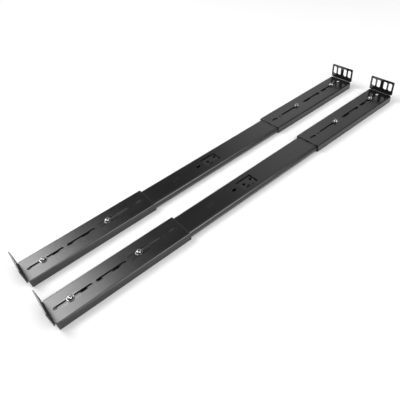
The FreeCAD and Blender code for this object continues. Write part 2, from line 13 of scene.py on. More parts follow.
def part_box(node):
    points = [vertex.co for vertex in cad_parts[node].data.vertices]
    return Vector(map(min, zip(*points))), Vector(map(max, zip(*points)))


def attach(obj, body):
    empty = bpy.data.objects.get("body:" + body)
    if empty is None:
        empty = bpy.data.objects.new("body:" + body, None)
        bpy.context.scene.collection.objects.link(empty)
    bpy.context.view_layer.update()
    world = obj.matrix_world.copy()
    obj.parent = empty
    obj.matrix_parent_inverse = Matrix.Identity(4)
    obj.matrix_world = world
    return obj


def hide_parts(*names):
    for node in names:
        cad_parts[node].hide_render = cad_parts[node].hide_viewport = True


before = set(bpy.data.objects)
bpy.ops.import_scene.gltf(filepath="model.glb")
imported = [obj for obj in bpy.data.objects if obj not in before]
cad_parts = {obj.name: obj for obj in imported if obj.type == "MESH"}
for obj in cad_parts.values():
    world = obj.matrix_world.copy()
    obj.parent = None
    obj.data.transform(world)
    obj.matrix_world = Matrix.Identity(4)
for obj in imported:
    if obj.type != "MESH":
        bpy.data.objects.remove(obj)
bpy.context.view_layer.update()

# ---------------------------------------------------------------------------------------------
# Outer and middle rails
# Steel strip roll-formed to a C, punched before forming and dipped in black paint, which thins in
# streaks along the rolls and rubs off the edges. The walls of the punched window, and spots on the middle
# rail under the cage's holes, are painted black as shade.
# ---------------------------------------------------------------------------------------------
SIDES = ("left", "right")
MM = 0.001
BEVEL_SAMPLES = 4
# Cosines of the turn away from the flat surface at which edge wear starts and is full.
WORN_TURN = (0.985, 0.80)
# Sockets of a Mix node set to colours: its share, its two colours and its result.
MIX_SHARE, MIX_FIRST, MIX_SECOND, MIX_RESULT = 0, 6, 7, 2


class Wire:
    """One output of a node, which adds, multiplies and compares like a number."""

    def __init__(self, bench, socket):
        self.bench = bench
        self.socket = socket

    def maths(self, operation, other=0.0, swapped=False):
        pair = (other, self) if swapped else (self, other)
        return self.bench.node("ShaderNodeMath", {"operation": operation}, dict(enumerate(pair)))

    def __add__(self, other):
        return self.maths("ADD", other)

    def __sub__(self, other):
        return self.maths("SUBTRACT", other)

    def __rsub__(self, other):
        return self.maths("SUBTRACT", other, swapped=True)

    def __mul__(self, other):
        return self.maths("MULTIPLY", other)

    def __pow__(self, other):
        return self.maths("POWER", other)

    def __abs__(self):
        return self.maths("ABSOLUTE")

    def __neg__(self):
        return self.maths("MULTIPLY", -1.0)

    __radd__ = __add__
    __rmul__ = __mul__

    def root(self):
        return self.maths("SQRT")

    def wave(self):
        return self.maths("SINE")

    def larger(self, other):
        return self.maths("MAXIMUM", other)

    def smaller(self, other):
        return self.maths("MINIMUM", other)

    def swing(self, width):
        """A pattern from 0 to 1 moved to lie round 0 and made that wide."""
        return (self - 0.5) * width

    def within(self, low, high, fade):
        """1 between low and high, 0 outside them, with a soft step as wide as fade at both."""
        return self.rise(low - fade, low) * self.rise(high + fade, high)

    def rise(self, low, high, start=0.0, end=1.0):
        """Runs smoothly from start at low to end at high, also where low is the larger."""
        values = {"Value": self, "From Min": low, "From Max": high, "To Min": start, "To Max": end}
        return self.bench.node("ShaderNodeMapRange", {"interpolation_type": "SMOOTHSTEP"}, values)


class Bench:
    """Where nodes are set out and joined, for one material, floor or sky."""

    def __init__(self, tree):
        self.tree = tree

    def node(self, kind, settings=None, values=None, output=None):
        """A node of that kind with its settings, its sockets fed by numbers or wires, and one output."""
        made = self.tree.nodes.new(kind)
        for key, value in (settings or {}).items():
            setattr(made, key, value)
        for key, value in (values or {}).items():
            self.feed(made.inputs[key], value)
        if output is None:
            output = next((i for i, socket in enumerate(made.outputs) if socket.enabled), None)
        return made if output is None else Wire(self, made.outputs[output])

    def feed(self, socket, value):
        if isinstance(value, Wire):
            self.tree.links.new(value.socket, socket)
        else:
            socket.default_value = value


class Coat(Bench):
    """A finish being laid on: one material, its surface shader, and the patterns that vary it."""

    def __init__(self, name, **uniform):
        self.material = bpy.data.materials.new(name)
        self.material.use_nodes = True
        super().__init__(self.material.node_tree)
        self.surface = self.tree.nodes["Principled BSDF"]
        for socket, value in uniform.items():
            self.surface.inputs[socket.replace("_", " ")].default_value = value

    def lay(self, **varying):
        """Feeds the surface shader's sockets with what varies over the piece."""
        for socket, value in varying.items():
            self.feed(self.surface.inputs[socket.replace("_", " ")], value)
        return self.material

    def place(self):
        """Where a point of the piece is, in metres."""
        return self.node("ShaderNodeTexCoord", output="Object")

    def axes(self):
        split = self.node("ShaderNodeSeparateXYZ", values={0: self.place()})
        return [Wire(self, split.socket.node.outputs[axis]) for axis in "XYZ"]

    def grain(self, size, stretch=(1, 1, 1), detail=2.0, shift=0.0):
        """Noise from 0 to 1 with lumps about size across, longer along an axis by its stretch."""
        scale = [1 / (size * s) for s in stretch]
        turn = {"Vector": self.place(), "Scale": scale, "Location": (shift, shift, shift)}
        values = {"Vector": self.node("ShaderNodeMapping", values=turn), "Scale": 1.0, "Detail": detail}
        return self.node("ShaderNodeTexNoise", values=values, output="Fac")

    def blend(self, first, second, share):
        """Colour from the first, where share is 0, to the second, where it is 1."""
        values = {MIX_SHARE: share, MIX_FIRST: first, MIX_SECOND: second}
        return self.node("ShaderNodeMix", {"data_type": "RGBA"}, values, output=MIX_RESULT)

    def softened(self, radius):
        """The surface direction with every sharp edge rounded to that radius."""
        return self.node("ShaderNodeBevel", {"samples": BEVEL_SAMPLES}, {"Radius": radius})

    def edges(self, radius):
        """1 on sharp edges, down to 0 a radius away from them."""
        flat = self.node("ShaderNodeNewGeometry", output="Normal")
        turned = {0: self.softened(radius), 1: flat}
        along = self.node("ShaderNodeVectorMath", {"operation": "DOT_PRODUCT"}, turned, output="Value")
        return along.rise(*WORN_TURN)

    def raised(self, height, depth, under=None):
        """The surface direction over small hills: height from 0 to 1 times depth."""
        values = {"Height": height, "Distance": depth, "Strength": 1.0}
        if under is not None:
            values["Normal"] = under
        return self.node("ShaderNodeBump", values=values)


def spot(x, y, centre_x, centre_y, outer, inner=0.0):
    """1 within the inner radius of an upright axis, down to 0 at the outer radius."""
    return ((x - centre_x) ** 2 + (y - centre_y) ** 2).rise(outer ** 2, inner ** 2)


def dress(node, finish):
    """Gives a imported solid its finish."""
    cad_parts[node].material_slots[0].material = finish


RAIL_BLACK = (0.0020, 0.0020, 0.0021, 1)
RAIL_THIN = (0.0055, 0.0055, 0.0057, 1)
RAIL_RUB = (0.070, 0.070, 0.072, 1)
RAIL_ROUGHNESS = 0.30
MIDDLE_ROUGHNESS = 0.34
PAINTED_SHADE_BLACK = (0.0, 0.0, 0.0, 1)
BROWN_GREASE = (0.030, 0.022, 0.012, 1)
# Places from the flange, along and across: dimples, and the stretch that holds window and sight hole.
DIMPLES = ((257 * MM, 2 * MM), (249 * MM, 0.0))
DIMPLE_RADIUS = 2.6 * MM
DIMPLE_DEPTH = 0.20 * MM
WINDOW_ALONG = (290 * MM, 340 * MM)
# Depths below the face of the web between which the wall of a hole is painted black as shade.
RAIL_WALL = (1.15 * MM, 0.10 * MM)
WALL_FADE = 0.03 * MM
# Places from the rear end of the outer cage, along and across, of its three round holes.
CAGE_HOLES = ((-5 * MM, 1 * MM), (-9 * MM, -8.5 * MM), (-20 * MM, -1 * MM))
HOLE_SHADE_SHIFT = 0.5 * MM
MIDDLE_RACE = 13 * MM
# Pairs for rise: where a mask is 0, and where it is 1.
WINDOW_ACROSS = (11 * MM, 10 * MM)
HOLE_SHADE_RADII = (2.5 * MM, 2.1 * MM)
FACE_DEPTH = (0.3 * MM, 0.2 * MM)


def dipped_paint(name, mean_roughness):
    """Black paint on rolled strip: long rolling streaks, fine peel, and thin bright wear on the edges."""
    coat = Coat(name, Specular_IOR_Level=1.0, IOR=1.5)
    streaks = coat.grain(0.5 * MM, stretch=(160, 1, 1), detail=3.0)
    clouds = coat.grain(24 * MM, stretch=(2.5, 1, 1), detail=3.0)
    peel = coat.grain(0.55 * MM, detail=1.0)
    specks = coat.grain(0.8 * MM, detail=0.0, shift=3.1).rise(0.80, 0.88)
    wear = coat.edges(0.45 * MM) * coat.grain(2.2 * MM, stretch=(3, 1, 1), detail=3.0).rise(0.30, 0.62)
    tone = (clouds * 0.7 + streaks * 0.3).rise(0.25, 0.80)
    paint = coat.blend(RAIL_BLACK, RAIL_THIN, tone)
    worn = coat.blend(paint, RAIL_RUB, (wear * 0.6).larger(specks * 0.2))
    roughness = mean_roughness + streaks.swing(0.08) + clouds.swing(0.06) - wear * 0.06
    fine = coat.raised(peel * 0.6 + streaks * 0.4, 0.005 * MM, coat.softened(0.35 * MM))
    return coat, worn, roughness, fine


def race_grease(coat, y, middle_y, race):
    """Smears of grease on the side walls, where the balls run at that distance from the middle."""
    smear = coat.grain(9 * MM, stretch=(7, 1, 1), detail=4.0, shift=1.7).rise(0.42, 0.72)
    return abs(y - middle_y).rise(race - 0.6 * MM, race + 0.6 * MM) * smear


for side in SIDES:
    low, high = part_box(f"{side}_outer_rail")
    middle_y = (low.y + high.y) / 2
    front_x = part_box(f"{side}_front_bracket")[0].x
    coat, colour, roughness, fine = dipped_paint(f"{side}_rail_paint", RAIL_ROUGHNESS)
    x, y, z = coat.axes()
    pressed = 0.0
    for along, across in DIMPLES:
        pressed = spot(x, y, front_x + along, middle_y + across, DIMPLE_RADIUS) + pressed
    dished = coat.raised(-pressed, DIMPLE_DEPTH, fine)
    # Painted shade: the walls of the punched window are black and metallic, as if in shadow.
    walls = z.within(high.z - RAIL_WALL[0], high.z - RAIL_WALL[1], WALL_FADE)
    window = x.within(front_x + WINDOW_ALONG[0], front_x + WINDOW_ALONG[1], 1 * MM)
    window = window * abs(y - middle_y).rise(*WINDOW_ACROSS)
    window_shade = walls * window
    dark = coat.blend(colour, PAINTED_SHADE_BLACK, window_shade)
    finish = coat.lay(Base_Color=dark, Roughness=roughness, Metallic=window_shade, Normal=dished)
    dress(f"{side}_outer_rail", finish)

    low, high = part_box(f"{side}_middle_rail")
    coat, colour, roughness, fine = dipped_paint(f"{side}_middle_rail_paint", MIDDLE_ROUGHNESS)
    x, y, z = coat.axes()
    greased = race_grease(coat, y, middle_y, MIDDLE_RACE)
    browned = coat.blend(colour, BROWN_GREASE, greased * 0.7)
    cage_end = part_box(f"{side}_outer_cage")[1].x
    # Painted shade: black spots on the face under the outer cage's holes, as if the holes looked into
    # shadow.
    hole_shade = 0.0
    for along, across in CAGE_HOLES:
        hole_shade = spot(x, y, cage_end + along, middle_y + across + HOLE_SHADE_SHIFT, *HOLE_SHADE_RADII) + hole_shade
    hole_shade = hole_shade * z.rise(high.z - FACE_DEPTH[0], high.z - FACE_DEPTH[1])
    dark = coat.blend(browned, PAINTED_SHADE_BLACK, hole_shade)
    wiped = roughness - greased * 0.12
    finish = coat.lay(Base_Color=dark, Roughness=wiped, Metallic=hole_shade, Normal=fine)
    dress(f"{side}_middle_rail", finish)

# ---------------------------------------------------------------------------------------------
# Inner rails
# Zinc-plated strip, roll-formed. The plate is slightly blue and cloudy, the rolls leave lines
# along it, and grease from the balls browns the side walls.
# ---------------------------------------------------------------------------------------------
ZINC = (0.34, 0.36, 0.38, 1)
ZINC_LIGHT = (0.45, 0.46, 0.47, 1)
ZINC_EDGE = (0.86, 0.86, 0.86, 1)
PALE_GREASE = (0.26, 0.21, 0.14, 1)
INNER_RACE = 10 * MM

for side in SIDES:
    low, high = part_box(f"{side}_inner_rail")
    coat = Coat(f"{side}_inner_rail_zinc", Metallic=1.0)
    x, y, z = coat.axes()
    lines = coat.grain(0.35 * MM, stretch=(400, 1, 1), detail=4.0)
    spangle = coat.grain(7 * MM, stretch=(2, 1, 1), detail=4.0)
    greased = race_grease(coat, y, (low.y + high.y) / 2, INNER_RACE)
    plate = coat.blend(ZINC, ZINC_LIGHT, (lines * 0.4 + spangle * 0.6).rise(0.30, 0.70))
    bright = coat.blend(plate, ZINC_EDGE, coat.edges(0.35 * MM) * 0.6)
    colour = coat.blend(bright, PALE_GREASE, greased * 0.55)
    roughness = 0.40 + lines.swing(0.16) + spangle.swing(0.12) - greased * 0.14
    fine = coat.raised(lines * 0.7 + spangle * 0.3, 0.004 * MM, coat.softened(0.3 * MM))
    dress(f"{side}_inner_rail", coat.lay(Base_Color=colour, Roughness=roughness, Normal=fine))

# ---------------------------------------------------------------------------------------------
# Ball cages
# Thin strip punched with a window for each ball and folded to a channel, blackened and oiled. Black
# painted shade lies at the rear end, along the fold and at the holes; the punched edges are rubbed bright,
# and a pale patch on the rear lip is a painted highlight.
# ---------------------------------------------------------------------------------------------
CAGE_BLACK = (0.006, 0.006, 0.0065, 1)
CAGE_OILED = (0.014, 0.013, 0.012, 1)
CAGE_WEAR_AND_SHEEN = (0.34, 0.335, 0.33, 1)
# Patches of painted shade and of painted highlight, along from the rear end of the cage, or from the sight
# hole for SIGHT_SHADE, and across from its middle.
END_SHADE = (-2.0 * MM, -1.7 * MM)
FOLD_SHADE = (8.5 * MM, 11 * MM)
NEAR_SHADE = ((-20.5 * MM, -14.5 * MM), (-8.4 * MM, -6.0 * MM))
LIP_HIGHLIGHT = ((-3.2 * MM, -2.3 * MM), (-2.0 * MM, 0.6 * MM))
SIGHT_HOLE = 297 * MM
SIGHT_SHADE = ((-3 * MM, 3 * MM), (-2.5 * MM, 4 * MM))
SHADED_CAGE_HOLES = (CAGE_HOLES[0], CAGE_HOLES[2])
CAGE_HOLE_SHADE_SHIFT = 1 * MM
CAGE_HOLE_SHADE_RADII = (2.7 * MM, 2.2 * MM)


def patch(along, across, spans, along_fade, across_fade):
    """1 over a rectangle with soft sides, given by its span along and its span across."""
    return along.within(*spans[0], along_fade) * across.within(*spans[1], across_fade)


for side in SIDES:
    for member in ("outer_cage", "inner_cage"):
        coat = Coat(f"{side}_{member}_strip", Specular_IOR_Level=0.85)
        scuffs = coat.grain(0.25 * MM, stretch=(60, 1, 1), detail=3.0).rise(0.56, 0.72)
        film = coat.grain(5 * MM, stretch=(3, 1, 1), detail=4.0)
        rubbed = (coat.edges(0.12 * MM) * 0.6 + scuffs * 0.04).smaller(1.0)
        low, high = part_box(f"{side}_{member}")
        x, y, z = coat.axes()
        across = y - (low.y + high.y) / 2
        along = x - high.x
        # Painted shade: black at the rear end of the cage and along its fold, as if in the shadow of the
        # gaps.
        painted_shade = along.rise(*END_SHADE).larger(across.within(*FOLD_SHADE, 0.3 * MM))
        if member == "outer_cage":
            # Painted shade: black patches beside the sight hole, on the near side and round two of the
            # holes.
            hole_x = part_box(f"{side}_front_bracket")[0].x + SIGHT_HOLE
            painted_shade = painted_shade.larger(patch(x - hole_x, across, SIGHT_SHADE, 0.3 * MM, 0.3 * MM))
            painted_shade = painted_shade.larger(patch(along, across, NEAR_SHADE, 0.6 * MM, 0.4 * MM))
            for hole_along, hole_across in SHADED_CAGE_HOLES:
                painted_shade = painted_shade.larger(spot(along, across, hole_along, hole_across + CAGE_HOLE_SHADE_SHIFT, *CAGE_HOLE_SHADE_RADII))
            # Painted highlight: a pale metal patch on the rear lip of the cage, as if it caught the light.
            rubbed = rubbed.larger(patch(along, across, LIP_HIGHLIGHT, 0.3 * MM, 0.4 * MM) * 0.7)
        colour = coat.blend(coat.blend(CAGE_BLACK, CAGE_OILED, film), CAGE_WEAR_AND_SHEEN, rubbed)
        colour = coat.blend(colour, PAINTED_SHADE_BLACK, painted_shade)
        fine = coat.raised(film * 0.5 + scuffs * 0.5, 0.01 * MM, coat.softened(0.15 * MM))
        metal_mask = rubbed.larger(painted_shade)
        finish = coat.lay(Base_Color=colour, Roughness=0.38 + film.swing(0.2), Normal=fine, Metallic=metal_mask)
        dress(f"{side}_{member}", finish)

# ---------------------------------------------------------------------------------------------
# Balls
# Ground and polished bearing steel, six to a row, with a thin uneven film of grease on them.
# They lie in the windows of the cages and travel with them.
# ---------------------------------------------------------------------------------------------
BALLS_IN_ROW = 6
BALL_BANDS = 14
BALL_SIDES = 24
BALL_BRIGHT = (0.78, 0.78, 0.79, 1)
BALL_GREASED = (0.52, 0.47, 0.38, 1)


def smooth_piece(name, points, faces):
    """A piece with those points and faces, at the origin, unturned and smooth to the eye."""
    mesh = bpy.data.meshes.new(name)
    mesh.from_pydata(points.reshape(-1, 3).tolist(), [], faces)
    mesh.shade_smooth()
    piece = bpy.data.objects.new(name, mesh)
    bpy.context.scene.collection.objects.link(piece)
    return piece


def closed_skins(name, rings, poles):
    """Skins closed at both ends, one for each item.

    rings is (items, rows, columns, 3): every row is a ring of points, joined to the next row, and
    to its own first point. poles is (items, 2, 3): the points that close the first and last row.
    """
    items, rows, columns, _ = rings.shape
    points = np.concatenate([rings.reshape(items, rows * columns, 3), poles], axis=1)
    start = (np.arange(items) * (rows * columns + 2))[:, None, None]
    row = start + np.arange(rows - 1)[None, :, None] * columns
    column = np.arange(columns)[None, None, :]
    here, beside = row + column, row + (column + 1) % columns
    quads = np.stack([here, here + columns, beside + columns, beside], axis=-1).reshape(-1, 4)
    rim, next_rim = here[:, 0], beside[:, 0]
    foot, next_foot = here[:, -1] + columns, beside[:, -1] + columns
    first = np.broadcast_to(start[:, 0] + rows * columns, rim.shape)
    top_cap = np.stack([first, rim, next_rim], axis=-1)
    low_cap = np.stack([first + 1, next_foot, foot], axis=-1)
    caps = np.concatenate([top_cap, low_cap]).reshape(-1, 3)
    return smooth_piece(name, points, quads.tolist() + caps.tolist())


def spheres(name, centres, radius, bands, sides):
    """Spheres: a point is at latitude u from pole to pole and longitude v round the upright axis."""
    u = np.linspace(0, np.pi, bands + 1)[1:-1, None]
    v = np.linspace(0, 2 * np.pi, sides, endpoint=False)[None, :]
    unit = np.stack([np.sin(u) * np.cos(v), np.sin(u) * np.sin(v), np.cos(u) + 0 * v], axis=-1)
    rings = centres[:, None, None, :] + radius * unit[None]
    poles = centres[:, None, :] + radius * np.array([[0, 0, 1], [0, 0, -1]])[None]
    return closed_skins(name, rings, poles)


coat = Coat("bearing_steel", Metallic=1.0)
film = coat.grain(1.6 * MM, detail=3.0)
colour = coat.blend(BALL_BRIGHT, BALL_GREASED, film.rise(0.48, 0.78))
fine = coat.raised(film, 0.004 * MM)
bearing_steel = coat.lay(Base_Color=colour, Roughness=0.08 + film * 0.16, Normal=fine)

for side in SIDES:
    for row in ("outer", "inner"):
        low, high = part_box(f"{side}_{row}_balls")
        radius = (high.z - low.z) / 2
        along = np.linspace(low.x + radius, high.x - radius, BALLS_IN_ROW)
        across = np.array([low.y + radius, high.y - radius])
        grid_x, grid_y = np.meshgrid(along, across)
        centres = np.stack([grid_x, grid_y, np.full_like(grid_x, low.z + radius)], axis=-1).reshape(-1, 3)
        balls = spheres(f"{side}_{row}_ball_rows", centres, radius, BALL_BANDS, BALL_SIDES)
        balls.data.materials.append(bearing_steel)
        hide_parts(f"{side}_{row}_balls")
        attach(balls, f"{side}_{row}_cage")

# ---------------------------------------------------------------------------------------------
# Brackets
# Cold-rolled sheet, punched, folded and powder coated: cloudy, with a fine peel, rubbed on the edges and
# scratched under the washers. The slots' walls are painted black as shade; a painted highlight lies on the
# far side of the last front slots and along the top edge of the front bracket's rear end.
# ---------------------------------------------------------------------------------------------
POWDER_BLACK = (0.0022, 0.0022, 0.0023, 1)
POWDER_THIN = (0.0058, 0.0058, 0.0060, 1)
POWDER_RUB = (0.085, 0.085, 0.087, 1)
PAINTED_EDGE_HIGHLIGHT = (0.20, 0.20, 0.20, 1)
HEAD_RADIUS = 4 * MM
FRONT_PITCH = 99.5 * MM
REAR_PITCH = 96.0 * MM
LAST_SLOTS = (117 * MM, 194 * MM)
BRACKET_WALL = (1.47 * MM, 0.15 * MM)
# Pairs for rise: distances from the middle of a slot, from a screw, from an end, or from the web's face.
TRACK_INSIDE = (2.2 * MM, 2.9 * MM)
TRACK_OUTSIDE = (5.4 * MM, 4.8 * MM)
TRACK_REACH = (19 * MM, 7 * MM)
SLOT_ACROSS = (4.2 * MM, 3.6 * MM)
FAR_SIDE = (0.6 * MM, 1.0 * MM)
FLANGE_FOOT = (2.45 * MM, 3.95 * MM)
RIM_REACH = (1.0 * MM, 0.3 * MM)
RIM_DEPTH = (0.55 * MM, 0.35 * MM)
SMOOTH_END = (45 * MM, 22 * MM)


def screw_centres(side):
    """The four bracket screws of a rail, from the ends of their box and the pitch between each pair."""
    low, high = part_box(f"{side}_bracket_screws")
    first, last = low.x + HEAD_RADIUS, high.x - HEAD_RADIUS
    along = np.array([first, first + FRONT_PITCH, last - REAR_PITCH, last])
    return np.stack([along, np.full(4, (low.y + high.y) / 2)], axis=-1)


def washer_tracks(x, y, pair):
    """1 beside a slot where a washer slides on it, within the bracket's setting travel."""
    tracks = 0.0
    for screw_x, screw_y in pair:
        beside = abs(y - screw_y)
        track = beside.rise(*TRACK_INSIDE) * beside.rise(*TRACK_OUTSIDE)
        tracks = track * abs(x - screw_x).rise(*TRACK_REACH) + tracks
    return tracks


def slot_walls(across, z, web_top):
    """1 on the walls of the slots, between the two faces of the web."""
    walls = z.within(web_top - BRACKET_WALL[0], web_top - BRACKET_WALL[1], WALL_FADE)
    return walls * abs(across).rise(*SLOT_ACROSS)


def powder_coat(side, end, pair):
    """Black powder coat of one bracket, given its two screws."""
    low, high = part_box(f"{side}_{end}_bracket")
    web_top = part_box(f"{side}_bracket_washers")[0].z
    coat = Coat(f"{side}_{end}_powder_coat", Specular_IOR_Level=1.0, IOR=1.5)
    x, y, z = coat.axes()
    across = y - pair[0][1]
    peel = coat.grain(0.9 * MM, detail=2.0)
    clouds = coat.grain(30 * MM, detail=4.0)
    scratches = coat.grain(0.18 * MM, stretch=(50, 1, 1), detail=2.0, shift=5.3).rise(0.62, 0.74)
    slid = washer_tracks(x, y, pair)
    on_flange = z.rise(web_top + FLANGE_FOOT[0], web_top + FLANGE_FOOT[1])
    rubbed = coat.grain(2.6 * MM, stretch=(2.5, 1, 1), detail=3.0, shift=2.2).rise(0.28, 0.60)
    wear = coat.edges(0.5 * MM) * rubbed * (1 - on_flange * 0.8)
    rubs = (slid * scratches * 0.5 + wear * 0.8).smaller(1.0)
    colour = coat.blend(POWDER_BLACK, POWDER_THIN, clouds.rise(0.28, 0.78))
    colour = coat.blend(colour, POWDER_RUB, rubs)
    roughness = 0.29 + clouds.swing(0.08) + peel.swing(0.05) - slid * 0.06 - wear * 0.05
    # Painted shade: the slot walls are black and metallic, as if in shadow.
    black = slot_walls(across, z, web_top)
    metal_mask = 0.0
    if end == "front":
        # Painted highlights: a pale metal line on the far side of the last front slots, and a faint one
        # along the top of the rear end.
        last_slots = x.within(low.x + LAST_SLOTS[0], low.x + LAST_SLOTS[1], 1 * MM)
        metal_mask = last_slots * across.rise(*FAR_SIDE) * black
        black = black * (1 - last_slots)
        on_top = z.rise(web_top - RIM_DEPTH[0], web_top - RIM_DEPTH[1])
        rim = abs(x - high.x).rise(*RIM_REACH) * on_top
        colour = coat.blend(colour, PAINTED_EDGE_HIGHLIGHT, (rim * 0.18 + metal_mask).smaller(1.0))
    else:
        roughness = roughness - x.rise(high.x - SMOOTH_END[0], high.x - SMOOTH_END[1]) * 0.17
    colour = coat.blend(colour, PAINTED_SHADE_BLACK, black)
    metal = (black + metal_mask).smaller(1.0)
    fine = coat.raised(peel, 0.010 * MM, coat.softened(0.5 * MM))
    return coat.lay(Base_Color=colour, Roughness=roughness, Metallic=metal, Normal=fine)


for side in SIDES:
    centres = screw_centres(side)
    dress(f"{side}_front_bracket", powder_coat(side, "front", centres[:2]))
    dress(f"{side}_rear_bracket", powder_coat(side, "rear", centres[2:]))

# ---------------------------------------------------------------------------------------------
# Washers
# Plain stamped washers in bright zinc: rounded over at the outer edge of the upper face, bevelled
# under it and at the bore, and turned tight so that the face carries fine rings.
# ---------------------------------------------------------------------------------------------
WASHER_RADIUS = 5 * MM
BORE_RADIUS = 2.05 * MM
ROLLED_EDGE = 0.30 * MM
BEVEL = 0.08 * MM
WASHER_SIDES = 72
WASHER_TINT = (0.46, 0.47, 0.48, 1)
WASHER_SHADE = (0.28, 0.29, 0.30, 1)
BRIGHT_EDGE = (0.85, 0.85, 0.84, 1)
SHADED_ZINC = (0.02, 0.02, 0.02, 1)
TURNED_PITCH = 0.28 * MM
# Pairs for rise: distances from a screw's axis.
RECESS_REACH = (2.5 * MM, 2.2 * MM)
HEAD_FLANK = (3.45 * MM, 3.75 * MM)


def carried_round(profile, angle):
    """A profile of (radius, height) pairs carried once round an upright axis, a ring for each pair."""
    reach, height = profile[:, 0][:, None], profile[:, 1][:, None]
    return np.stack([reach * np.cos(angle), reach * np.sin(angle), height + 0 * angle], axis=-1)


def closed_rings(name, profile, centres, sides):
    """Rings: a closed profile of (radius, height) pairs carried once round an upright axis."""
    angle = np.linspace(0, 2 * np.pi, sides, endpoint=False)[None, :]
    offset = np.concatenate([centres, np.zeros((len(centres), 1))], axis=1)
    points = carried_round(profile, angle)[None] + offset[:, None, None, :]
    items, rows, columns, _ = points.shape
    start = (np.arange(items) * rows * columns)[:, None, None]
    row, column = np.arange(rows)[None, :, None], np.arange(columns)[None, None, :]
    onward, beside = (row + 1) % rows, (column + 1) % columns
    corners = [(row, column), (onward, column), (onward, beside), (row, beside)]
    quads = np.stack([start + r * columns + c for r, c in corners], axis=-1)
    return smooth_piece(name, points, quads.reshape(-1, 4).tolist())


def bright_zinc(name, centres, tint, shade, hollow_below=None):
    """Bright zinc plate with fine turned rings about each centre, small dents and a dull film.

    Where hollow_below is given, the recess lower than that and the flank of the head are painted dark as
    shade.
    """
    coat = Coat(name, Metallic=1.0)
    x, y, z = coat.axes()
    away = 1.0
    for centre_x, centre_y in centres:
        away = ((x - centre_x) ** 2 + (y - centre_y) ** 2).root().smaller(away)
    rings = (away * (2 * math.pi / TURNED_PITCH)).wave() * 0.5 + 0.5
    dents = coat.grain(0.8 * MM, detail=3.0)
    film = coat.grain(2.4 * MM, detail=4.0, shift=4.4)
    plate = coat.blend(shade, tint, film.rise(0.30, 0.66))
    colour = coat.blend(plate, BRIGHT_EDGE, coat.edges(0.18 * MM) * 0.4)
    if hollow_below is not None:
        # Painted shade: the recess and the flank of the head are darkened as if in shadow.
        recess_shade = z.rise(hollow_below, hollow_below - 0.3 * MM) * away.rise(*RECESS_REACH)
        colour = coat.blend(colour, SHADED_ZINC, recess_shade.larger(away.rise(*HEAD_FLANK)))
    roughness = 0.20 + film * 0.16 + rings * 0.04
    fine = coat.raised(dents * 0.8 + rings * 0.2, 0.012 * MM, coat.softened(0.08 * MM))
    return coat.lay(Base_Color=colour, Roughness=roughness, Normal=fine)


def washer_profile(foot, top):
    """Section of a washer: a quarter circle over its outer edge, small bevels under it and at the bore."""
    turn = np.linspace(0, np.pi / 2, 5)
    rolled_x = WASHER_RADIUS - ROLLED_EDGE + ROLLED_EDGE * np.sin(turn)
    rolled_z = top - ROLLED_EDGE + ROLLED_EDGE * np.cos(turn)
    outer_foot = [[WASHER_RADIUS, foot + BEVEL], [WASHER_RADIUS - BEVEL, foot]]
    bore_foot = [[BORE_RADIUS + BEVEL, foot], [BORE_RADIUS, foot + BEVEL]]
    bore_top = [[BORE_RADIUS, top - 2 * BEVEL], [BORE_RADIUS + 2 * BEVEL, top]]
    return np.concatenate([np.stack([rolled_x, rolled_z], axis=-1), outer_foot, bore_foot, bore_top])


for side in SIDES:
    low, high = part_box(f"{side}_bracket_washers")
    centres = screw_centres(side)
    profile = washer_profile(low.z, high.z)
    washers = closed_rings(f"{side}_stamped_washers", profile, centres, WASHER_SIDES)
    washers.data.materials.append(bright_zinc(f"{side}_washer_plate", centres, WASHER_TINT, WASHER_SHADE))
    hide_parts(f"{side}_bracket_washers")
    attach(washers, f"{side}_outer")

# ---------------------------------------------------------------------------------------------
# Screws
# M4 pan-head machine screws, cold headed with a cross recess, thread rolled, bright zinc. They
# pass the washers and the bracket slots and pull into the web of the outer rail.
# ---------------------------------------------------------------------------------------------
HEAD_HEIGHT = 3.0 * MM
HEAD_RIM = 0.5 * MM
UNDER_EDGE_INSET = 0.15 * MM
UNDER_EDGE_HEIGHT = 0.12 * MM
RECESS_DEPTH = 1.7 * MM
RECESS_POINT = 0.2 * MM
# Half length and half width of each bar of the cross.
RECESS_MOUTH = (2.15 * MM, 0.50 * MM)
RECESS_FLOOR = (0.75 * MM, 0.30 * MM)
MOUTH_INSET = 0.95
MOUTH_CHAMFER = 0.10 * MM
SHANK_RADIUS = 2.0 * MM
THREAD_PITCH = 0.7 * MM
THREAD_DEPTH = 0.25 * MM
POINT_INSET = 0.3 * MM
FIRST_TURN = 0.4
NEXT_TURN = 1.9
CORNER_STEP = 0.02
SHARP_TURN = math.radians(38)
SCREW_TINT = (0.60, 0.60, 0.59, 1)
SCREW_SHADE = (0.34, 0.35, 0.36, 1)
SUNK_FROM_TOP = 0.45 * MM


def cross_outline(angle, length, half_width):
    """Distance from the centre of a cross to its outline: the further of its two crossing bars."""
    c, s = np.maximum(abs(np.cos(angle)), 1e-6), np.maximum(abs(np.sin(angle)), 1e-6)
    return np.maximum(np.minimum(length / c, half_width / s), np.minimum(half_width / c, length / s))


def cross_angles(length, half_width):
    """Angles round a cross: even ones, and one at and one just past each corner of its outline."""
    corner = np.arctan2([half_width, half_width, length], [length, half_width, half_width])
    quarter = np.unique(np.concatenate([np.linspace(0, np.pi / 2, 13), corner, corner + CORNER_STEP]))
    quarter = quarter[quarter < np.pi / 2 - 1e-6]
    return np.concatenate([quarter + k * np.pi / 2 for k in range(4)])


def crown_height(seat, reach):
    """Height of the crown: over the rim, by the square root of one less the cube of the distance."""
    share = np.clip(reach / HEAD_RADIUS, 0, 1)
    return seat + HEAD_RIM + (HEAD_HEIGHT - HEAD_RIM) * np.sqrt(1 - share ** 3)


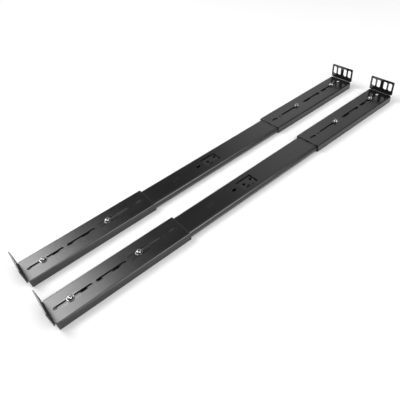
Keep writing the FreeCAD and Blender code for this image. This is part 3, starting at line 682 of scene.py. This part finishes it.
def pan_head_screws(name, centres, seat, foot):
    """Screws as stacked rings.

    The ring's outline runs from a small cross at the floor of the recess to a large one at its
    mouth, then over the crown to a circle at the rim. Below the seat the shank carries thread
    rings, alternately out and in.
    """
    angle = cross_angles(*RECESS_MOUTH)
    mouth = cross_outline(angle, *RECESS_MOUTH)
    floor = cross_outline(angle, *RECESS_FLOOR)
    inside = mouth * MOUTH_INSET
    top = seat + HEAD_HEIGHT
    rows = [(floor, np.full_like(angle, top - RECESS_DEPTH))]
    rows.append((inside, crown_height(seat, inside) - MOUTH_CHAMFER))
    rows.append((mouth, crown_height(seat, mouth)))
    for share in 1 - (1 - np.linspace(0, 1, 10)[1:]) ** 2:
        reach = mouth + (HEAD_RADIUS - mouth) * share
        rows.append((reach, crown_height(seat, reach)))
    under = [(HEAD_RADIUS, UNDER_EDGE_HEIGHT), (HEAD_RADIUS - UNDER_EDGE_INSET, 0.0), (SHANK_RADIUS, 0.0)]
    rows += [(np.full_like(angle, reach), np.full_like(angle, seat + up)) for reach, up in under]
    for k in range(1, int((seat - foot) / (THREAD_PITCH / 2))):
        reach = SHANK_RADIUS - (THREAD_DEPTH if k % 2 else 0.0)
        rows.append((np.full_like(angle, reach), np.full_like(angle, seat - k * THREAD_PITCH / 2)))
    rows.append((np.full_like(angle, SHANK_RADIUS - POINT_INSET), np.full_like(angle, foot)))
    reach = np.stack([r for r, _ in rows])[None]
    height = np.stack([h for _, h in rows])[None]
    turned = angle + (FIRST_TURN + NEXT_TURN * np.arange(len(centres)))[:, None, None]
    skin = np.stack([reach * np.cos(turned), reach * np.sin(turned), height + 0 * turned], axis=-1)
    offset = np.concatenate([centres, np.zeros((len(centres), 1))], axis=1)
    ends = np.array([[0, 0, top - RECESS_DEPTH - RECESS_POINT], [0, 0, foot]])
    return closed_skins(name, skin + offset[:, None, None, :], offset[:, None, :] + ends[None])


for side in SIDES:
    low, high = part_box(f"{side}_bracket_screws")
    centres = screw_centres(side)
    screws = pan_head_screws(f"{side}_pan_head_screws", centres, high.z - HEAD_HEIGHT, low.z)
    screws.data.set_sharp_from_angle(angle=SHARP_TURN)
    sunk_below = high.z - SUNK_FROM_TOP
    finish = bright_zinc(f"{side}_screw_plate", centres, SCREW_TINT, SCREW_SHADE, sunk_below)
    screws.data.materials.append(finish)
    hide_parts(f"{side}_bracket_screws")
    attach(screws, f"{side}_outer")

# ---------------------------------------------------------------------------------------------
# Rear bumpers
# Moulded block of black rubbery plastic, pressed into the rear end of the outer rail, which
# stops the middle rail. The mould leaves a fine eroded grain, and the corners are rubbed pale.
# ---------------------------------------------------------------------------------------------
RUBBER_BLACK = (0.022, 0.022, 0.023, 1)
RUBBER_BLOOM = (0.050, 0.049, 0.047, 1)
RUBBER_PALE = (0.11, 0.11, 0.11, 1)

for side in SIDES:
    coat = Coat(f"{side}_bumper_plastic", Specular_IOR_Level=0.35)
    grain = coat.grain(0.35 * MM, detail=3.0)
    bloom = coat.grain(4 * MM, detail=4.0)
    rubbed = coat.edges(0.5 * MM) * bloom.rise(0.3, 0.6)
    colour = coat.blend(coat.blend(RUBBER_BLACK, RUBBER_BLOOM, bloom), RUBBER_PALE, rubbed)
    fine = coat.raised(grain, 0.03 * MM, coat.softened(0.6 * MM))
    finish = coat.lay(Base_Color=colour, Roughness=0.55 + grain.swing(0.2), Normal=fine)
    dress(f"{side}_rear_bumper", finish)

# ---------------------------------------------------------------------------------------------
# Release latches
# Injection-moulded levers on a rivet in the inner rail, blue so that they are found by eye,
# with raised ribs on the tail for the fingertip.
# ---------------------------------------------------------------------------------------------
LATCH_BLUE = (0.045, 0.130, 0.300, 1)
LATCH_PALE = (0.085, 0.200, 0.410, 1)
LATCH_SCUFF = (0.30, 0.42, 0.58, 1)
PLATE_HEIGHT = 1.4 * MM
RIBS_FROM_END = 9.5 * MM
RIB_COUNT = 5
RIB_PITCH = 2.2 * MM
RIB_LENGTH = 4.6 * MM
RIB_WIDTH = 1.1 * MM
RIB_HEIGHT = 0.45 * MM
RIB_BLUNTNESS = 0.6


def latch_plastic(name):
    """Moulded plastic: fine eroded grain, flow clouds, and pale scuffed edges."""
    coat = Coat(name, Specular_IOR_Level=0.45)
    grain = coat.grain(0.30 * MM, detail=3.0)
    flow = coat.grain(6 * MM, stretch=(3, 1, 1), detail=4.0)
    scuffed = coat.edges(0.35 * MM) * coat.grain(1.2 * MM, detail=3.0, shift=2.5).rise(0.35, 0.62)
    base = coat.blend(LATCH_BLUE, LATCH_PALE, flow.rise(0.3, 0.75))
    colour = coat.blend(base, LATCH_SCUFF, scuffed * 0.6)
    fine = coat.raised(grain, 0.02 * MM, coat.softened(0.3 * MM))
    return coat.lay(Base_Color=colour, Roughness=0.42 + grain.swing(0.2), Normal=fine)


def finger_ribs(name, centre_x, centre_y, bed):
    """Ribs as half-sunk drops: round across the rib and upwards, blunted along its length.

    The length falls with the sines of both angles, each raised to the bluntness.
    """
    u = np.linspace(0, np.pi, 9)[1:-1, None]
    v = np.linspace(0, 2 * np.pi, 20, endpoint=False)[None, :]
    lengthwise = np.sign(np.sin(v)) * abs(np.sin(v)) ** RIB_BLUNTNESS * np.sin(u) ** RIB_BLUNTNESS
    drop = np.stack([
        RIB_WIDTH / 2 * np.sin(u) * np.cos(v),
        RIB_LENGTH / 2 * lengthwise,
        RIB_HEIGHT * np.cos(u) + 0 * v,
    ], axis=-1)
    along = centre_x + (np.arange(RIB_COUNT) - (RIB_COUNT - 1) / 2) * RIB_PITCH
    offset = np.stack([along, np.full(RIB_COUNT, centre_y), np.full(RIB_COUNT, bed)], axis=-1)
    poles = offset[:, None, :] + np.array([[0, 0, RIB_HEIGHT], [0, 0, -RIB_HEIGHT]])[None]
    return closed_skins(name, drop[None] + offset[:, None, None, :], poles)


for side in SIDES:
    low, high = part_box(f"{side}_release_latch")
    blue = latch_plastic(f"{side}_latch_plastic")
    dress(f"{side}_release_latch", blue)
    ribs_x, ribs_y = high.x - RIBS_FROM_END, (low.y + high.y) / 2
    ribs = finger_ribs(f"{side}_latch_ribs", ribs_x, ribs_y, low.z + PLATE_HEIGHT)
    ribs.data.materials.append(blue)
    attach(ribs, f"{side}_latch")

# ---------------------------------------------------------------------------------------------
# Latch rivets
# Plain steel rivets with a domed head, turned from bar and set through the latch into the web
# of the inner rail, where the latch turns on them.
# ---------------------------------------------------------------------------------------------
RIVET_HEAD = 0.9 * MM
RIVET_RIM = 0.12 * MM
RIVET_UNDERCUT = 0.08 * MM
STEM_RADIUS = 1.5 * MM
RIVET_SIDES = 48
RIVET_TINT = (0.62, 0.61, 0.60, 1)
RIVET_SHADE = (0.42, 0.41, 0.40, 1)

def rivet_profile(head_radius, foot, top):
    """Half section of a rivet: a quarter ellipse over the head, then in under it and down the stem."""
    seat = top - RIVET_HEAD
    u = np.linspace(0.12, np.pi / 2, 8)
    dome_z = seat + RIVET_RIM + (RIVET_HEAD - RIVET_RIM) * np.cos(u)
    under = [[head_radius - RIVET_UNDERCUT, seat], [STEM_RADIUS, seat], [STEM_RADIUS, foot]]
    return np.concatenate([np.stack([head_radius * np.sin(u), dome_z], axis=-1), under])


for side in SIDES:
    low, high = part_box(f"{side}_latch_rivet")
    centre = np.array([[(low.x + high.x) / 2, (low.y + high.y) / 2]])
    offset = np.append(centre[0], 0.0)
    angle = np.linspace(0, 2 * np.pi, RIVET_SIDES, endpoint=False)[None, :]
    skin = carried_round(rivet_profile((high.x - low.x) / 2, low.z, high.z), angle) + offset
    ends = np.array([[offset + (0, 0, high.z), offset + (0, 0, low.z)]])
    rivet = closed_skins(f"{side}_domed_rivet", skin[None], ends)
    rivet.data.set_sharp_from_angle(angle=SHARP_TURN)
    rivet.data.materials.append(bright_zinc(f"{side}_rivet_steel", centre, RIVET_TINT, RIVET_SHADE))
    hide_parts(f"{side}_latch_rivet")
    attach(rivet, f"{side}_inner")

# ---------------------------------------------------------------------------------------------
# Floor and light
# White sheet, greyed as painted contact shade close to the part, glowing far off and clear from below; a
# sky that is dim beyond the rails and low on the near side; two soft lamps beyond the rails and a wide lit
# card on the near side.
# ---------------------------------------------------------------------------------------------
PAPER = (0.62, 0.62, 0.62, 1)
WHITE = (1.0, 1.0, 1.0, 1)
CONTACT_SHADE_GREY = (0.10, 0.10, 0.10, 1)
CONTACT_REACH = 13 * MM
CONTACT_SAMPLES = 8
CONTACT_OPEN = (0.0, 0.42)
FLOOR_REACH = 6
FLOOR_DROP = 0.4 * MM
GLOW_FROM = (0.7, 1.3)
SKY_FILL = 0.48
SKY_MIRRORED = 0.50
DIM_AZIMUTH, DIM_ELEVATION = math.radians(71), math.radians(43)
DIM_REACH = (math.radians(25), math.radians(11))
# Pairs for rise, in the way's own sideways and upward shares.
DIM_NEAR_SIDE = (-0.10, -0.40)
DIM_LOW = (0.85, 0.60)

floor_mesh = bpy.data.meshes.new("floor")
corners = [(-1, -1), (1, -1), (1, 1), (-1, 1)]
sheet_points = [(FLOOR_REACH * right, FLOOR_REACH * back, -FLOOR_DROP) for right, back in corners]
floor_mesh.from_pydata(sheet_points, [], [(0, 1, 2, 3)])
floor = bpy.data.objects.new("floor", floor_mesh)
bpy.context.scene.collection.objects.link(floor)

paper = bpy.data.materials.new("white_paper")
paper.use_nodes = True
paper.node_tree.nodes.clear()
bench = Bench(paper.node_tree)
seen = bench.node("ShaderNodeLightPath", output="Is Camera Ray")
mirrored = bench.node("ShaderNodeLightPath", output="Is Glossy Ray")
matt = bench.node("ShaderNodeBsdfDiffuse", values={"Color": PAPER})
# Painted shade: seen by the camera, the floor greys where ambient occlusion finds the rails close by.
reach = {"Distance": CONTACT_REACH}
open_share = bench.node("ShaderNodeAmbientOcclusion", {"samples": CONTACT_SAMPLES}, reach, output="AO")
grey = bench.node("ShaderNodeBsdfDiffuse", values={"Color": CONTACT_SHADE_GREY})
white = bench.node("ShaderNodeBsdfDiffuse", values={"Color": WHITE})
shown = bench.node("ShaderNodeMixShader", values={0: open_share.rise(*CONTACT_OPEN), 1: grey, 2: white})
either = bench.node("ShaderNodeMixShader", values={0: seen.larger(mirrored), 1: matt, 2: shown})
place = {0: bench.node("ShaderNodeTexCoord", output="Object")}
distance = bench.node("ShaderNodeVectorMath", {"operation": "LENGTH"}, place, output="Value")
glow = bench.node("ShaderNodeEmission", values={"Color": WHITE, "Strength": 1.0})
far = distance.rise(*GLOW_FROM) * seen
swept = bench.node("ShaderNodeMixShader", values={0: far, 1: either, 2: glow})
below = bench.node("ShaderNodeNewGeometry", output="Backfacing")
clear = bench.node("ShaderNodeBsdfTransparent")
sheet = bench.node("ShaderNodeMixShader", values={0: below, 1: swept, 2: clear})
bench.node("ShaderNodeOutputMaterial", values={"Surface": sheet})
floor.data.materials.append(paper)

sky = bpy.data.worlds.new("white_sky")
bpy.context.scene.world = sky
sky.use_nodes = True
sky.node_tree.nodes.clear()
bench = Bench(sky.node_tree)
direction = bench.node("ShaderNodeTexCoord", output="Generated")
dim_way = Vector((math.cos(DIM_AZIMUTH), math.sin(DIM_AZIMUTH), math.tan(DIM_ELEVATION))).normalized()
both = {0: direction, 1: dim_way}
nearness = bench.node("ShaderNodeVectorMath", {"operation": "DOT_PRODUCT"}, both, output="Value")
dimmed = nearness.rise(math.cos(DIM_REACH[0]), math.cos(DIM_REACH[1]), 1.0, 0.0)
split = bench.node("ShaderNodeSeparateXYZ", values={0: direction})
sideways, height = [Wire(bench, split.socket.node.outputs[axis]) for axis in "YZ"]
dimmed = dimmed * (1 - sideways.rise(*DIM_NEAR_SIDE) * height.rise(*DIM_LOW))
fill = bench.node("ShaderNodeLightPath", output="Is Diffuse Ray").rise(0.0, 1.0, SKY_MIRRORED, SKY_FILL)
seen = bench.node("ShaderNodeLightPath", output="Is Camera Ray")
night = bench.node("ShaderNodeBackground", values={"Color": WHITE, "Strength": 0.0})
plain = bench.node("ShaderNodeBackground", values={"Color": WHITE, "Strength": 1.0})
lit = bench.node("ShaderNodeMixShader", values={0: dimmed * fill, 1: night, 2: plain})
either = bench.node("ShaderNodeMixShader", values={0: seen, 1: lit, 2: plain})
bench.node("ShaderNodeOutputWorld", values={"Surface": either})


def soft_lamp(name, azimuth, elevation, distance, wide, tall, radiance):
    """Rectangular lamp facing the rails: power is radiance times pi times its area."""
    light = bpy.data.lights.new(name, "AREA")
    light.shape = "RECTANGLE"
    light.size, light.size_y = wide, tall
    light.energy = radiance * math.pi * wide * tall
    lamp = bpy.data.objects.new(name, light)
    a, e = math.radians(azimuth), math.radians(elevation)
    lamp.location = distance * Vector((math.cos(a) * math.cos(e), math.sin(a) * math.cos(e), math.sin(e)))
    lamp.rotation_euler = lamp.location.to_track_quat("Z", "Y").to_euler()
    bpy.context.scene.collection.objects.link(lamp)


soft_lamp("lamp_behind", azimuth=118, elevation=45, distance=2.4, wide=1.20, tall=1.20, radiance=7.2)
soft_lamp("lamp_rear_end", azimuth=43, elevation=34, distance=2.4, wide=0.80, tall=0.80, radiance=0.36)
soft_lamp("card_in_front", azimuth=-77, elevation=45, distance=2.4, wide=1.90, tall=1.10, radiance=5.2)

# ---------------------------------------------------------------------------------------------
# Camera
# Stands beside the front end of the nearer rail and looks down across both rails, a little
# towards the rear, rolled a little about its own axis.
# ---------------------------------------------------------------------------------------------
EYE = Vector((-0.28970, -0.36645, 0.40078))
AIM = Vector((-0.07250, -0.01194, 0.0))
ROLL = math.radians(-10.019)
SENSOR = 36.0
LENS = 34.78
CLIP = (0.01, 30.0)

ahead = (AIM - EYE).normalized()
level = ahead.cross(Vector((0, 0, 1))).normalized()
upright = level.cross(ahead)
across = math.cos(ROLL) * level + math.sin(ROLL) * upright
upward = math.cos(ROLL) * upright - math.sin(ROLL) * level
camera = bpy.data.objects.new("camera", bpy.data.cameras.new("camera"))
camera.data.sensor_width = SENSOR
camera.data.lens = LENS
camera.data.clip_start, camera.data.clip_end = CLIP
turn = Matrix((across, upward, -ahead)).transposed()
camera.matrix_world = Matrix.Translation(EYE) @ turn.to_4x4()
bpy.context.scene.collection.objects.link(camera)
bpy.context.scene.camera = camera
bpy.context.scene.view_settings.view_transform = "Standard"
